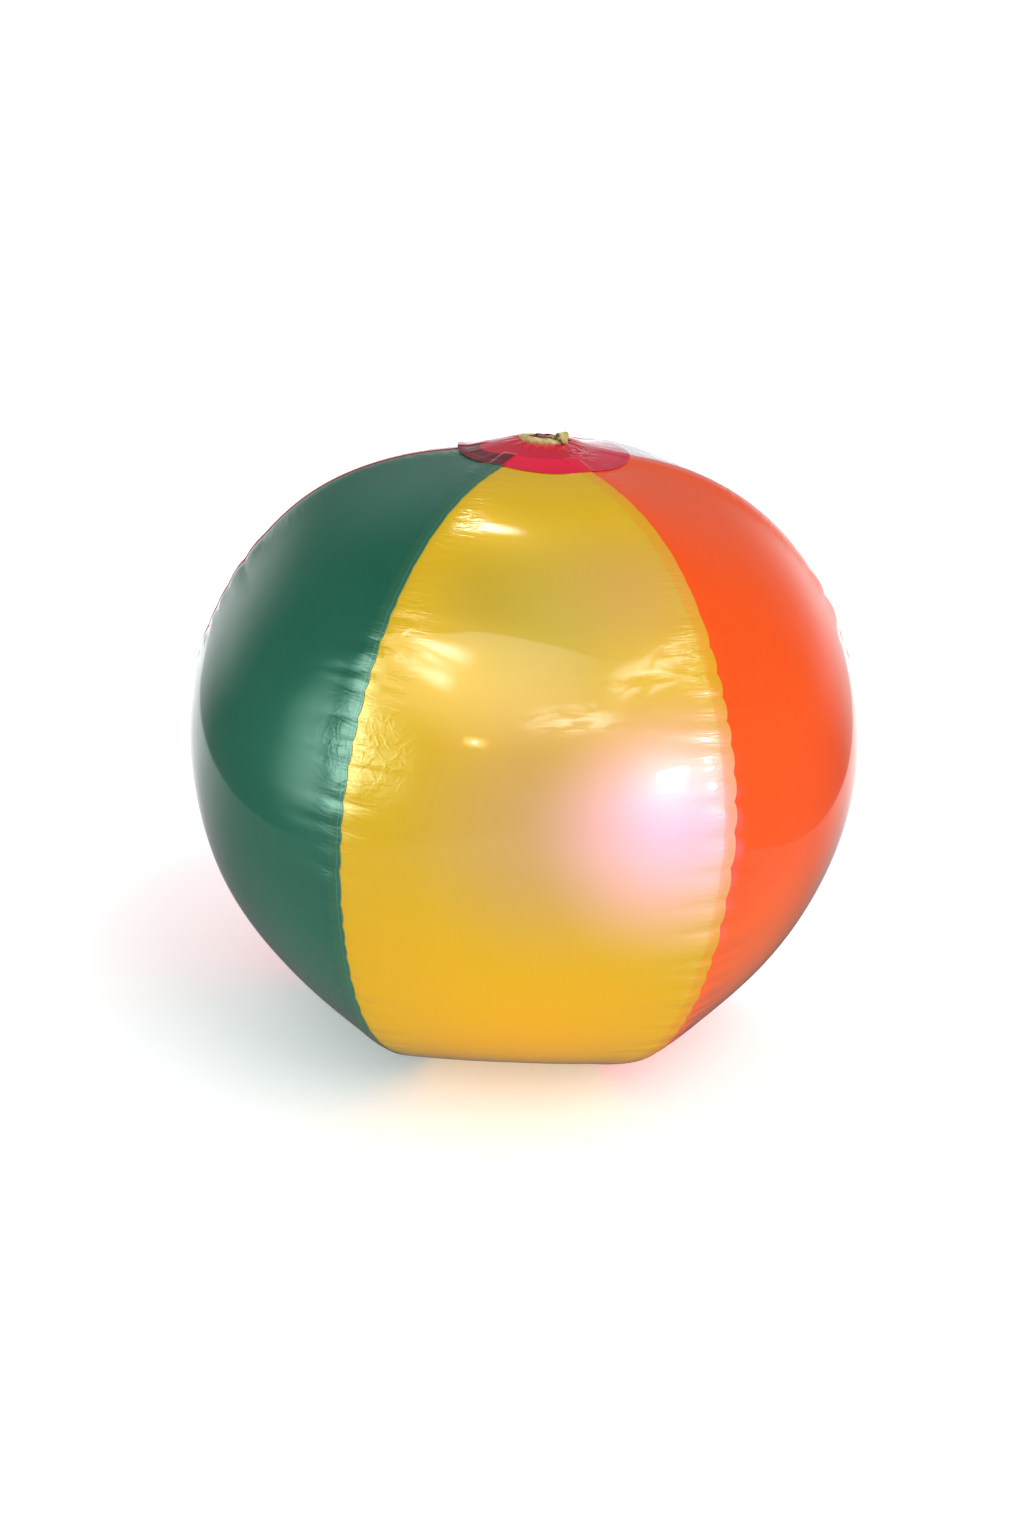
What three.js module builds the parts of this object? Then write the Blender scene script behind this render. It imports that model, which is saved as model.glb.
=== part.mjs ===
// An inflatable beach ball: six welded film panels, an end cap at each pole and a push-in valve on top.
// Millimetres, +Z up along the axis of the ball. The origin is the middle of the flat patch it rests on.
// The yellow panel faces -Y, and the panels follow each other towards +X.
import * as THREE from "three";

const TURN = 2 * Math.PI;
const DEGREE = Math.PI / 180;

// The film, and the gap kept between pieces that are welded or pressed together
const FILM = 0.3;
const GAP = 0.3;

const FILM_ROUGHNESS = 0.25;

// The inflated bag
const EQUATOR_RADIUS = 170; // to the middle of a panel
const FLOOR_DROP = 153; // from the equator down to the floor
const PATCH_RADIUS = 51; // flat patch on the floor
const BELLY_EXPONENT = 1.87; // fullness of the curve from the equator to the patch
const CROWN_TERMS = [-0.197, 0.261, -0.198]; // crown radius: a series in the squared sine of latitude
const EQUATOR_FLATNESS = 0.04; // 0 is a round cross-section, 1 is a hexagon
const POLE_FLATNESS = 0.87;

// The panels
const PANELS = [
  { name: "gore_yellow", color: 0xdda62e },
  { name: "gore_orange", color: 0xf2602c },
  { name: "gore_white", color: 0xe8e2ec },
  { name: "gore_blue", color: 0x2f6fb4 },
  { name: "gore_red", color: 0xc8303f },
  { name: "gore_green", color: 0x35725c },
];
const HALF_PANEL = Math.PI / PANELS.length;
const TIP_RADIUS = 28; // where the panels stop, under the caps
const LAP_WIDTH = 6; // weld margin that runs under the neighbouring panel
const LAP_MOST = 10 * DEGREE;
const LAP_STEP = 1.2; // width of the step down to the weld margin
const PANEL_COLUMNS = 6;
const CROWN_ROWS = 11;
const BELLY_ROWS = 11;

// The end caps
const CAP_RADIUS = 41.5;
const CAP_COLUMNS = 36;
const CAP_ROWS = 5;
const CAP_CLEARANCE = 0.8; // between the bottom cap's edge and the panels around it
const CONE_RISE = 5; // how far the valve lifts the top cap into a cone
const COLOR_CAP = 0xd6304f;

// The valve. Heights are above the crown, the bag's own pole.
const RIM_RADIUS = 12.1; // outside of the rolled collar
const RIM_HEIGHT = 7.9;
const COLLAR_WALL = 0.6;
const COLLAR_INSIDE = 9.6;
const ROLL_STEPS = 6; // over the rim
const BEND_STEPS = 3; // at the stem's foot
const FLANGE_RADIUS = 18;
const FLANGE_THICKNESS = 0.8;
const STEM_RADIUS = 6;
const STEM_BORE = 4.5;
const STEM_TOP = 3;
const STEM_BOTTOM = -12;
const FOOT_RADIUS = 8;
const FOOT_THICKNESS = 1.2;
const MOUTH_CHAMFER = 0.5;
const PLUG_RADIUS = 7;
const PLUG_THICKNESS = 1.4;
const PLUG_EDGE = 0.4; // rounding of the stopper's head
const NOSE_TOP_RADIUS = 4.2;
const NOSE_TIP_RADIUS = 2.8;
const NOSE_DEPTH = 2.7;
// The strap's middle line, as [radius, height]: from the stem up inside the collar, over the rim and back.
const STRAP_ROUTE = [
  [6.3, -1],
  [7.8, -0.6],
  [8.6, 1],
  [8.6, 6.9],
  [10, 9.3],
  [11.5, 9.9],
  [10.2, 10.9],
  [6.6, 8.7],
  [5, 5.7],
  [3.8, 5.35],
];
const STRAP_AZIMUTH = 55 * DEGREE;
const STRAP_WIDTH = 4;
const STRAP_THICKNESS = 0.7;
const STRAP_STEPS = 28;
const FLAP_RADIUS = 4.2;
const FLAP_THICKNESS = 0.6;
const ROUND_SEGMENTS = 32;
const COLOR_VALVE = 0xc2b184;
const VALVE_ROUGHNESS = 0.4;

const ANGLE_STEP = 1e-3; // for slopes
const BISECTIONS = 50;

const EQUATOR_HEIGHT = FLOOR_DROP;
const CROWN_SHARE = 1 + CROWN_TERMS.reduce((sum, term) => sum + term, 0);
const CROWN_HEIGHT = EQUATOR_HEIGHT + EQUATOR_RADIUS * CROWN_SHARE;

// ---------------------------------------------------------------- the bag's surface

// A point [radius, height] of the mid-panel outline above the equator, without the valve's cone.
function crownPoint(latitude) {
  const s = Math.sin(latitude) ** 2;
  const share = 1 + s * (CROWN_TERMS[0] + s * (CROWN_TERMS[1] + s * CROWN_TERMS[2]));
  const distance = EQUATOR_RADIUS * share;
  return new THREE.Vector2(distance * Math.cos(latitude), EQUATOR_HEIGHT + distance * Math.sin(latitude));
}

// The same from the equator, at angle 0, down to the rim of the flat patch, at a quarter turn.
function bellyPoint(angle) {
  const power = 2 / BELLY_EXPONENT;
  const radius = PATCH_RADIUS + (EQUATOR_RADIUS - PATCH_RADIUS) * Math.cos(angle) ** power;
  return new THREE.Vector2(radius, EQUATOR_HEIGHT - FLOOR_DROP * Math.sin(angle) ** power);
}

// A station is an outline point with its outward normal and the flatness of its cross-section.
function station(point, normal, angle) {
  const flatness = EQUATOR_FLATNESS + (POLE_FLATNESS - EQUATOR_FLATNESS) * Math.sin(angle) ** 2;
  return { point, normal, flatness };
}

function crownStation(latitude) {
  const run = crownPoint(latitude - ANGLE_STEP).sub(crownPoint(latitude + ANGLE_STEP)).normalize();
  return station(crownPoint(latitude), new THREE.Vector2(-run.y, run.x), latitude);
}

function bellyStation(angle) {
  const after = Math.min(angle + ANGLE_STEP, Math.PI / 2);
  const run = bellyPoint(after).sub(bellyPoint(angle - ANGLE_STEP)).normalize();
  return station(bellyPoint(angle), new THREE.Vector2(-run.y, run.x), angle);
}

function floorStation(radius, height) {
  return station(new THREE.Vector2(radius, height), new THREE.Vector2(0, -1), Math.PI / 2);
}

// Cross-sections run from a circle to a hexagon whose corners are the seams.
function sectionRadius({ point, flatness }, azimuth) {
  const turns = azimuth / (2 * HALF_PANEL);
  const fromPanelMiddle = (turns - Math.round(turns)) * 2 * HALF_PANEL;
  return point.x * (1 + flatness * (1 / Math.cos(fromPanelMiddle) - 1));
}

// The latitude on the crown where the cross-section has the given radius at an azimuth.
function crownLatitude(radius, azimuth) {
  let low = 0;
  let high = Math.PI / 2;
  for (let pass = 0; pass < BISECTIONS; pass++) {
    const middle = (low + high) / 2;
    if (sectionRadius(crownStation(middle), azimuth) > radius) low = middle;
    else high = middle;
  }
  return low;
}

// Height that the valve adds to the crown at a radius, falling to nothing at the cap's edge.
function coneRise(radius) {
  const share = (CAP_RADIUS - radius) / (CAP_RADIUS - RIM_RADIUS);
  return CONE_RISE * THREE.MathUtils.clamp(share, 0, 1);
}

// A point of the surface at an azimuth from -Y towards +X, moved out along the outline's normal.
function surfacePoint(at, azimuth, offset) {
  const radius = sectionRadius(at, azimuth);
  const lift = at.point.y > EQUATOR_HEIGHT ? coneRise(radius) : 0;
  const out = radius + offset * at.normal.x;
  const height = at.point.y + lift + offset * at.normal.y;
  return new THREE.Vector3(out * Math.sin(azimuth), -out * Math.cos(azimuth), height);
}

// ---------------------------------------------------------------- solids

// A closed sheet between two grids of points, rows by columns; its columns may close on themselves.
function sheetGeometry(outer, inner, closedAround) {
  const rows = outer.length;
  const columns = outer[0].length;
  const positions = [...outer.flat(), ...inner.flat()].flatMap((point) => point.toArray());
  const faces = [];
  const outerIndex = (i, j) => i * columns + (j % columns);
  const innerIndex = (i, j) => rows * columns + outerIndex(i, j);
  const quad = (a, b, c, d) => faces.push(a, c, b, a, d, c);
  const lastColumn = closedAround ? columns : columns - 1;
  for (let j = 0; j < lastColumn; j++) {
    for (let i = 0; i < rows - 1; i++) {
      quad(outerIndex(i, j), outerIndex(i, j + 1), outerIndex(i + 1, j + 1), outerIndex(i + 1, j));
      quad(innerIndex(i, j), innerIndex(i + 1, j), innerIndex(i + 1, j + 1), innerIndex(i, j + 1));
    }
    quad(outerIndex(0, j), innerIndex(0, j), innerIndex(0, j + 1), outerIndex(0, j + 1));
    const end = rows - 1;
    quad(outerIndex(end, j), outerIndex(end, j + 1), innerIndex(end, j + 1), innerIndex(end, j));
  }
  for (let i = 0; i < rows - 1 && !closedAround; i++) {
    const end = columns - 1;
    quad(outerIndex(i, 0), outerIndex(i + 1, 0), innerIndex(i + 1, 0), innerIndex(i, 0));
    quad(outerIndex(i, end), innerIndex(i, end), innerIndex(i + 1, end), outerIndex(i + 1, end));
  }
  const geometry = new THREE.BufferGeometry();
  geometry.setAttribute("position", new THREE.Float32BufferAttribute(positions, 3));
  geometry.setIndex(faces);
  geometry.computeVertexNormals();
  return geometry;
}

// A solid turned about the ball's axis from [radius, height] points; heights are above the crown.
function turned(outline) {
  const points = outline.map(([radius, height]) => new THREE.Vector2(radius, height));
  const geometry = new THREE.LatheGeometry(points, ROUND_SEGMENTS);
  geometry.rotateX(Math.PI / 2);
  geometry.translate(0, 0, CROWN_HEIGHT);
  return geometry;
}

function part(name, geometry, color, roughness) {
  const material = new THREE.MeshStandardMaterial({ color, roughness, metalness: 0 });
  const mesh = new THREE.Mesh(geometry, material);
  mesh.name = name;
  return mesh;
}

// ---------------------------------------------------------------- panels

// A panel's rows, from its upper tip to its lower one. Each gives the station at an azimuth.
function panelRows() {
  const step = FILM + GAP;
  const stepRadius = CAP_RADIUS + CAP_CLEARANCE;
  const rows = [(azimuth) => crownStation(crownLatitude(TIP_RADIUS, azimuth))];
  for (let i = 0; i <= CROWN_ROWS; i++) {
    rows.push((azimuth) => crownStation(crownLatitude(CAP_RADIUS, azimuth) * (1 - i / CROWN_ROWS)));
  }
  for (let i = 1; i <= BELLY_ROWS; i++) rows.push(() => bellyStation(((Math.PI / 2) * i) / BELLY_ROWS));
  rows.push(() => floorStation(stepRadius + 2 * step, 0));
  rows.push(() => floorStation(stepRadius, step));
  rows.push(() => floorStation(TIP_RADIUS, step));
  return rows;
}

// The columns across a panel at one height: where each stands, and how far below the surface its top lies.
function panelColumns(radius) {
  const lap = Math.min(LAP_WIDTH / radius, LAP_MOST);
  const low = FILM + GAP;
  const first = -HALF_PANEL + LAP_STEP / radius;
  const last = HALF_PANEL - lap;
  const columns = [
    { azimuth: -HALF_PANEL - lap, depth: low },
    { azimuth: -HALF_PANEL, depth: low },
  ];
  for (let i = 0; i <= PANEL_COLUMNS; i++) {
    columns.push({ azimuth: first + ((last - first) * i) / PANEL_COLUMNS, depth: 0 });
  }
  columns.push({ azimuth: HALF_PANEL, depth: 0 });
  return columns;
}

// One panel, centred on -Y. Its left margin steps down and runs under the neighbour's right edge.
function panelGeometry() {
  const face = (thickness) =>
    panelRows().map((stationAt) =>
      panelColumns(stationAt(0).point.x).map(({ azimuth, depth }) =>
        surfacePoint(stationAt(azimuth), azimuth, -depth - thickness),
      ),
    );
  return sheetGeometry(face(0), face(FILM), false);
}

function addPanels(ball) {
  const geometry = panelGeometry();
  PANELS.forEach(({ name, color }, i) => {
    const panel = part(name, geometry, color, FILM_ROUGHNESS);
    panel.rotation.z = 2 * HALF_PANEL * i;
    ball.add(panel);
  });
}

// ---------------------------------------------------------------- end caps

// The top cap covers the panels' tips and rises in a cone to the valve's collar.
function topCapGeometry() {
  const hole = RIM_RADIUS + GAP;
  const azimuths = Array.from({ length: CAP_COLUMNS }, (_, j) => (TURN * j) / CAP_COLUMNS);
  const radii = Array.from({ length: CAP_ROWS + 1 }, (_, i) =>
    THREE.MathUtils.lerp(hole, CAP_RADIUS, i / CAP_ROWS),
  );
  const face = (offset) =>
    radii.map((radius) =>
      azimuths.map((azimuth) => surfacePoint(crownStation(crownLatitude(radius, azimuth)), azimuth, offset)),
    );
  return sheetGeometry(face(GAP + FILM), face(GAP), true);
}

function bottomCapGeometry() {
  const geometry = new THREE.CylinderGeometry(CAP_RADIUS, CAP_RADIUS, FILM, CAP_COLUMNS);
  geometry.rotateX(Math.PI / 2);
  geometry.translate(0, 0, FILM / 2);
  return geometry;
}

// ---------------------------------------------------------------- valve

// Height of the bag's surface above the crown at a radius, on a panel's middle line.
function surfaceAboveCrown(radius) {
  return crownPoint(crownLatitude(radius, 0)).y + coneRise(radius) - CROWN_HEIGHT;
}

// The ring welded under the top cap.
function flangeGeometry() {
  const inside = RIM_RADIUS + GAP;
  const radii = [inside, FLANGE_RADIUS];
  const bottom = radii.map((radius) => [radius, surfaceAboveCrown(radius) - FLANGE_THICKNESS]);
  const top = bottom.map(([radius, height]) => [radius, height + FLANGE_THICKNESS]).reverse();
  return turned([...bottom, ...top, bottom[0]]);
}

// The two faces of a wall of even thickness along a path of [radius, height] points, as one closed outline.
function wallOutline(path, thickness) {
  const side = (distance) =>
    path.map(([radius, height], i) => {
      const before = path[Math.max(i - 1, 0)];
      const after = path[Math.min(i + 1, path.length - 1)];
      const run = new THREE.Vector2(after[0] - before[0], after[1] - before[1]).normalize();
      return [radius - run.y * distance, height + run.x * distance];
    });
  const near = side(-thickness / 2);
  const far = side(thickness / 2).reverse();
  return [...near, ...far, near[0]];
}

function arc(centre, radius, from, to, steps) {
  return Array.from({ length: steps + 1 }, (_, i) => {
    const angle = THREE.MathUtils.lerp(from, to, i / steps);
    return [centre[0] + radius * Math.cos(angle), centre[1] + radius * Math.sin(angle)];
  });
}

// The soft collar: up from the flange, over the rim, and down inside to the stem's foot.
function collarGeometry() {
  const outside = RIM_RADIUS - COLLAR_WALL / 2;
  const inside = COLLAR_INSIDE + COLLAR_WALL / 2;
  const roll = (outside - inside) / 2;
  const rollCentre = [(outside + inside) / 2, RIM_HEIGHT - COLLAR_WALL / 2 - roll];
  const bendCentre = [inside - roll, STEM_BOTTOM + COLLAR_WALL / 2 + roll];
  const path = [
    [outside, surfaceAboveCrown(RIM_RADIUS) - FLANGE_THICKNESS],
    ...arc(rollCentre, roll, 0, Math.PI, ROLL_STEPS),
    ...arc(bendCentre, roll, 0, -Math.PI / 2, BEND_STEPS),
    [FOOT_RADIUS + GAP, STEM_BOTTOM + COLLAR_WALL / 2],
  ];
  return turned(wallOutline(path, COLLAR_WALL));
}

function stemGeometry() {
  const footTop = STEM_BOTTOM + FOOT_THICKNESS;
  const outline = [
    [STEM_BORE, STEM_BOTTOM],
    [FOOT_RADIUS, STEM_BOTTOM],
    [FOOT_RADIUS, footTop],
    [STEM_RADIUS, footTop],
    [STEM_RADIUS, STEM_TOP],
    [STEM_BORE + MOUTH_CHAMFER, STEM_TOP],
    [STEM_BORE, STEM_TOP - MOUTH_CHAMFER],
  ];
  return turned([...outline, outline[0]]);
}

// The stopper: a round head on the stem's end and a short tapered nose in its bore.
function plugGeometry() {
  const under = STEM_TOP + GAP;
  const top = under + PLUG_THICKNESS;
  return turned([
    [0, under - NOSE_DEPTH],
    [NOSE_TIP_RADIUS, under - NOSE_DEPTH],
    [NOSE_TOP_RADIUS, under],
    [PLUG_RADIUS - PLUG_EDGE, under],
    [PLUG_RADIUS, under + PLUG_EDGE],
    [PLUG_RADIUS, top - PLUG_EDGE],
    [PLUG_RADIUS - PLUG_EDGE, top],
    [0, top],
  ]);
}

// The strap is one ribbon from the stem's side to the top of the stopper.
function strapGeometry() {
  const half = STRAP_THICKNESS / 2;
  const points = STRAP_ROUTE.map(([radius, height]) => new THREE.Vector3(radius, 0, height));
  const curve = new THREE.CatmullRomCurve3(points, false, "centripetal");
  const section = new THREE.Shape();
  section.moveTo(-STRAP_WIDTH / 2, -half);
  section.lineTo(STRAP_WIDTH / 2, -half);
  section.lineTo(STRAP_WIDTH / 2, half);
  section.lineTo(-STRAP_WIDTH / 2, half);
  section.closePath();
  const geometry = new THREE.ExtrudeGeometry(section, { extrudePath: curve, steps: STRAP_STEPS });
  geometry.translate(0, 0, CROWN_HEIGHT);
  return geometry;
}

function flapGeometry() {
  const geometry = new THREE.CylinderGeometry(FLAP_RADIUS, FLAP_RADIUS, FLAP_THICKNESS, ROUND_SEGMENTS);
  geometry.rotateX(Math.PI / 2);
  geometry.translate(0, 0, CROWN_HEIGHT + STEM_BOTTOM + FLAP_THICKNESS / 2);
  return geometry;
}

function addValve(ball) {
  ball.add(part("valve_flange", flangeGeometry(), COLOR_VALVE, VALVE_ROUGHNESS));
  ball.add(part("valve_web", collarGeometry(), COLOR_VALVE, VALVE_ROUGHNESS));
  ball.add(part("valve_stem", stemGeometry(), COLOR_VALVE, VALVE_ROUGHNESS));
  ball.add(part("valve_plug", plugGeometry(), COLOR_VALVE, VALVE_ROUGHNESS));
  ball.add(part("check_flap", flapGeometry(), COLOR_VALVE, VALVE_ROUGHNESS));
  const strap = part("plug_strap", strapGeometry(), COLOR_VALVE, VALVE_ROUGHNESS);
  strap.rotation.z = STRAP_AZIMUTH - Math.PI / 2;
  ball.add(strap);
}

const ball = new THREE.Group();
addPanels(ball);
ball.add(part("top_cap", topCapGeometry(), COLOR_CAP, FILM_ROUGHNESS));
ball.add(part("bottom_cap", bottomCapGeometry(), COLOR_CAP, FILM_ROUGHNESS));
addValve(ball);

export default ball;
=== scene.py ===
import math

import bpy
import numpy as np
from mathutils import Matrix, Vector


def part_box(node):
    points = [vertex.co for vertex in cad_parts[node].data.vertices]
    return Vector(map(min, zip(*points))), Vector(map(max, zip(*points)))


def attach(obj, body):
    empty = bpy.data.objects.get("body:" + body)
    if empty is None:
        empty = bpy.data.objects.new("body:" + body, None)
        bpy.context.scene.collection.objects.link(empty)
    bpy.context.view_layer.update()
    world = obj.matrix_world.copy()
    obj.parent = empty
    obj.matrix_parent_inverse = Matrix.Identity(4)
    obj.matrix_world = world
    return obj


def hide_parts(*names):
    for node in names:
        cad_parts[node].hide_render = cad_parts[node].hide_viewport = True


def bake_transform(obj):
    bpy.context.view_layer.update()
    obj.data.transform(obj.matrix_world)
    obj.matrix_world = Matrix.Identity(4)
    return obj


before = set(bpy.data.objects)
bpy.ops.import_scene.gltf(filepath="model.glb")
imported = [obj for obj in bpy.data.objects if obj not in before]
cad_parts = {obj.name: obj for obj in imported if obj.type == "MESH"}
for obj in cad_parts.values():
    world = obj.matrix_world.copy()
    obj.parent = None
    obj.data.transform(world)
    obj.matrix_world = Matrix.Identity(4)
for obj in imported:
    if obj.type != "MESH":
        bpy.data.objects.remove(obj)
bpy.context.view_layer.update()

MM = 0.001
SEED = 7

# The bag's surface, as in the CAD part
EQUATOR_RADIUS = 170 * MM
EQUATOR_HEIGHT = 153 * MM
PATCH_RADIUS = 51 * MM
BELLY_EXPONENT = 1.87
CROWN_TERMS = (-0.197, 0.261, -0.198)
EQUATOR_FLATNESS = 0.04
POLE_FLATNESS = 0.87
CROWN_HEIGHT = EQUATOR_HEIGHT + EQUATOR_RADIUS * (1 + sum(CROWN_TERMS))
CAP_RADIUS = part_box("top_cap")[1].x
RIM_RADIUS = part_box("valve_web")[1].x
RIM_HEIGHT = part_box("valve_web")[1].z - CROWN_HEIGHT
CONE_RISE = 5 * MM
CONE_SOFT = 4 * MM  # how gently the cone starts at the cap's edge
TIP_RADIUS = 28 * MM  # where the panel tips end under the caps
SEAM_CORNER = 3 * MM

# The film
FILM = 0.3 * MM
LAYER = 0.06 * MM  # air between welded layers
LAP_WIDTH = 6 * MM
LAP_MOST = math.radians(10)
PANELS = ("gore_yellow", "gore_orange", "gore_white", "gore_blue", "gore_red", "gore_green")
PANEL_TURN = 2 * math.pi / len(PANELS)
HALF_PANEL = PANEL_TURN / 2

# ---------------------------------------------------------------- the bag's surface


def smooth(value, start, end):
    """0 before start, 1 after end and an even curve between them."""
    t = np.clip((value - start) / (end - start), 0, 1)
    return t * t * (3 - 2 * t)


def outline(latitude):
    """Radius and height of the mid-panel outline. Below the equator latitude is minus the belly angle."""
    s = np.sin(latitude) ** 2
    share = 1 + s * (CROWN_TERMS[0] + s * (CROWN_TERMS[1] + s * CROWN_TERMS[2]))
    power = 2 / BELLY_EXPONENT
    belly = np.clip(-latitude, 0, math.pi / 2)
    belly_radius = PATCH_RADIUS + (EQUATOR_RADIUS - PATCH_RADIUS) * np.cos(belly) ** power
    belly_height = EQUATOR_HEIGHT * (1 - np.sin(belly) ** power)
    above = latitude > 0
    radius = np.where(above, EQUATOR_RADIUS * share * np.cos(latitude), belly_radius)
    height = np.where(above, EQUATOR_HEIGHT + EQUATOR_RADIUS * share * np.sin(latitude), belly_height)
    return radius, height


def section_radius(radius, latitude, azimuth):
    """Cross-sections run from a circle to a hexagon with rounded corners at the seams."""
    flatness = EQUATOR_FLATNESS + (POLE_FLATNESS - EQUATOR_FLATNESS) * np.sin(latitude) ** 2
    turns = azimuth / PANEL_TURN
    from_middle = np.abs(turns - np.round(turns)) * PANEL_TURN
    corner = SEAM_CORNER / np.maximum(radius, TIP_RADIUS / 2)
    to_seam = HALF_PANEL - from_middle
    eased = HALF_PANEL - (np.sqrt(to_seam**2 + corner**2) - corner)
    return radius * (1 + flatness * (1 / np.cos(eased) - 1))


def cone_rise(radius):
    """Height that the valve adds to the crown, with a soft bend at the cap's edge."""
    inward = CAP_RADIUS - radius
    inward = (inward + np.sqrt(inward**2 + CONE_SOFT**2)) / 2 - CONE_SOFT / 4
    return CONE_RISE * np.clip(inward / (CAP_RADIUS - RIM_RADIUS), 0, 1.02)


def bag_point(latitude, azimuth):
    """Points of the bag's surface, azimuth from -Y towards +X."""
    radius, height = outline(latitude)
    radius = section_radius(radius, latitude, azimuth)
    height = height + np.where(latitude > 0, cone_rise(radius), 0)
    return np.stack([radius * np.sin(azimuth), -radius * np.cos(azimuth), height], axis=-1)


def bag_frame(latitude, azimuth):
    """Points of the surface with their outward normals."""
    step = 2e-3
    down = bag_point(latitude - step, azimuth) - bag_point(latitude + step, azimuth)
    right = bag_point(latitude, azimuth + step) - bag_point(latitude, azimuth - step)
    normal = np.cross(down, right)
    normal /= np.maximum(np.linalg.norm(normal, axis=-1, keepdims=True), 1e-12)
    return bag_point(latitude, azimuth), normal


# ---------------------------------------------------------------- what the welding and filling do to the film


def gathers(seed, spacing, start, end):
    """Pinches along one seam: their places, how far each leans, and the pillow between it and the next."""
    random = np.random.default_rng(SEED + seed)
    places = [start]
    while places[-1] < end:
        places.append(places[-1] + random.uniform(*spacing))
    count = len(places)
    return {
        "places": np.array(places),
        "leans": random.uniform(-0.22, 0.22, count),
        "heights": random.uniform(0.55, 1.15, count),
        "reaches": random.uniform(9 * MM, 24 * MM, (count, 2)),
    }


SEAM_LENGTH = 0.52
GATHER_SPACING = (8 * MM, 18 * MM)
GATHER_USUAL = 13 * MM
SEAMS = [gathers(3 * i, GATHER_SPACING, 0.0, SEAM_LENGTH) for i in range(len(PANELS))]
PILLOW = 1.0 * MM  # how far the film stands out between two usual pinches
SCALLOP = 1.3 * MM  # how far a cut edge waves along a seam


def pillows(seam, along, across):
    """How far the film beside a seam stands out. The film is creased at the pinches and full between them."""
    push = np.zeros_like(along)
    wave = np.zeros_like(along)
    distance = np.abs(across)
    side = (across > 0).astype(int)
    places, leans = seam["places"], seam["leans"]
    for i in range(len(places) - 1):
        low = places[i] + leans[i] * distance
        high = places[i + 1] + leans[i + 1] * distance
        share = (along - low) / (high - low)
        here = (share > 0) & (share < 1)
        full = np.sin(np.pi * np.clip(share, 0, 1))
        reach = seam["reaches"][i][side]
        size = seam["heights"][i] * (places[i + 1] - places[i]) / GATHER_USUAL
        push += np.where(here, size * full**0.8 * np.exp(-((distance / reach) ** 1.7)), 0)
        wave += np.where(here, full**0.6 - 0.6, 0)
    push *= 0.45 + 0.55 * smooth(distance, 0, LAP_WIDTH)
    return PILLOW * push, SCALLOP * wave


DENT_WAVES = 14
DENT_LENGTHS = (0.07, 0.16)
DENT_DEPTH = 0.12 * MM


def dents(points):
    """Broad, shallow unevenness of the filled bag."""
    random = np.random.default_rng(SEED)
    depth = np.zeros(points.shape[:-1])
    for _ in range(DENT_WAVES):
        wave = random.normal(size=3)
        wave *= 2 * math.pi / random.uniform(*DENT_LENGTHS) / np.linalg.norm(wave)
        depth += np.sin(points @ wave + random.uniform(0, 2 * math.pi))
    return DENT_DEPTH * depth


def liveliness(latitude):
    """Where along a seam the film is gathered: little on the crown and near the floor."""
    crown = 1 - smooth(latitude, math.radians(30), math.radians(44))
    cap = 1 - smooth(latitude, math.radians(62), math.radians(70))
    floor = smooth(latitude, math.radians(-62), math.radians(-30))
    return (0.06 * cap + 0.94 * crown) * floor


# Where the photographed bag stands off the even shape: point and reach in mm, height in mm
BUMPS = (
    ((-135, -30, 235), 60, -2.2),
    ((-22, 62, 290), 42, -4.6),
    ((62, 50, 282), 50, 3.4),
    ((142, -5, 232), 38, -1.2),
)


def unevenness(points):
    """Dents, flat and full shoulders, and none of it at the valve."""
    total = dents(points)
    for centre, reach, height in BUMPS:
        distance = np.linalg.norm(points - np.array(centre) * MM, axis=-1)
        total = total + height * MM * np.exp(-((distance / (reach * MM)) ** 2))
    return total * smooth(np.linalg.norm(points[..., :2], axis=-1), 18 * MM, 44 * MM)


# ---------------------------------------------------------------- meshes


def quads(index):
    """Faces between the rows and columns of a grid of point numbers."""
    corners = index[:-1, :-1], index[:-1, 1:], index[1:, 1:], index[1:, :-1]
    return np.stack(corners, -1).reshape(-1, 4)


def joined(index):
    """A grid of point numbers with its first column again at the end."""
    return np.concatenate([index, index[:, :1]], axis=1)


def sheet_mesh(name, outer, inner, closed=False, attributes=None):
    """A closed sheet between two grids of points. Rows run down, columns to the right seen from outside."""
    rows, columns = outer.shape[:2]
    count = rows * columns
    index = np.arange(count).reshape(rows, columns)
    if closed:
        index = joined(index)
    face = quads(index)
    faces = [face[:, [0, 3, 2, 1]], face + count]
    edges = [(index[0, :-1], index[0, 1:]), (index[-1, 1:], index[-1, :-1])]
    if not closed:
        edges += [(index[1:, 0], index[:-1, 0]), (index[:-1, -1], index[1:, -1])]
    faces += [np.stack([u, v, v + count, u + count], 1) for u, v in edges]
    vertices = np.concatenate([outer.reshape(-1, 3), inner.reshape(-1, 3)])
    return mesh_object(name, vertices, np.concatenate(faces).tolist(), attributes)


def mesh_object(name, vertices, faces, attributes=None, sharp=50):
    """A smooth object with edges over sharp degrees kept crisp. attributes hold a value per outer point."""
    mesh = bpy.data.meshes.new(name)
    mesh.from_pydata(vertices.tolist(), [], faces)
    mesh.polygons.foreach_set("use_smooth", np.ones(len(mesh.polygons), bool))
    mesh.set_sharp_from_angle(angle=math.radians(sharp))
    for key, values in (attributes or {}).items():
        both = np.concatenate([values.ravel(), values.ravel()]).astype(np.float32)
        mesh.attributes.new(key, "FLOAT", "POINT").data.foreach_set("value", both)
    piece = bpy.data.objects.new(name, mesh)
    bpy.context.scene.collection.objects.link(piece)
    return piece


def finish_piece(piece, body, material, *nodes):
    """The piece gets its material, rides on the body if one is given and stands for the CAD nodes."""
    piece.data.materials.append(material)
    if body:
        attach(piece, body)
    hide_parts(*nodes)
    return piece


# ---------------------------------------------------------------- panels

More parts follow.
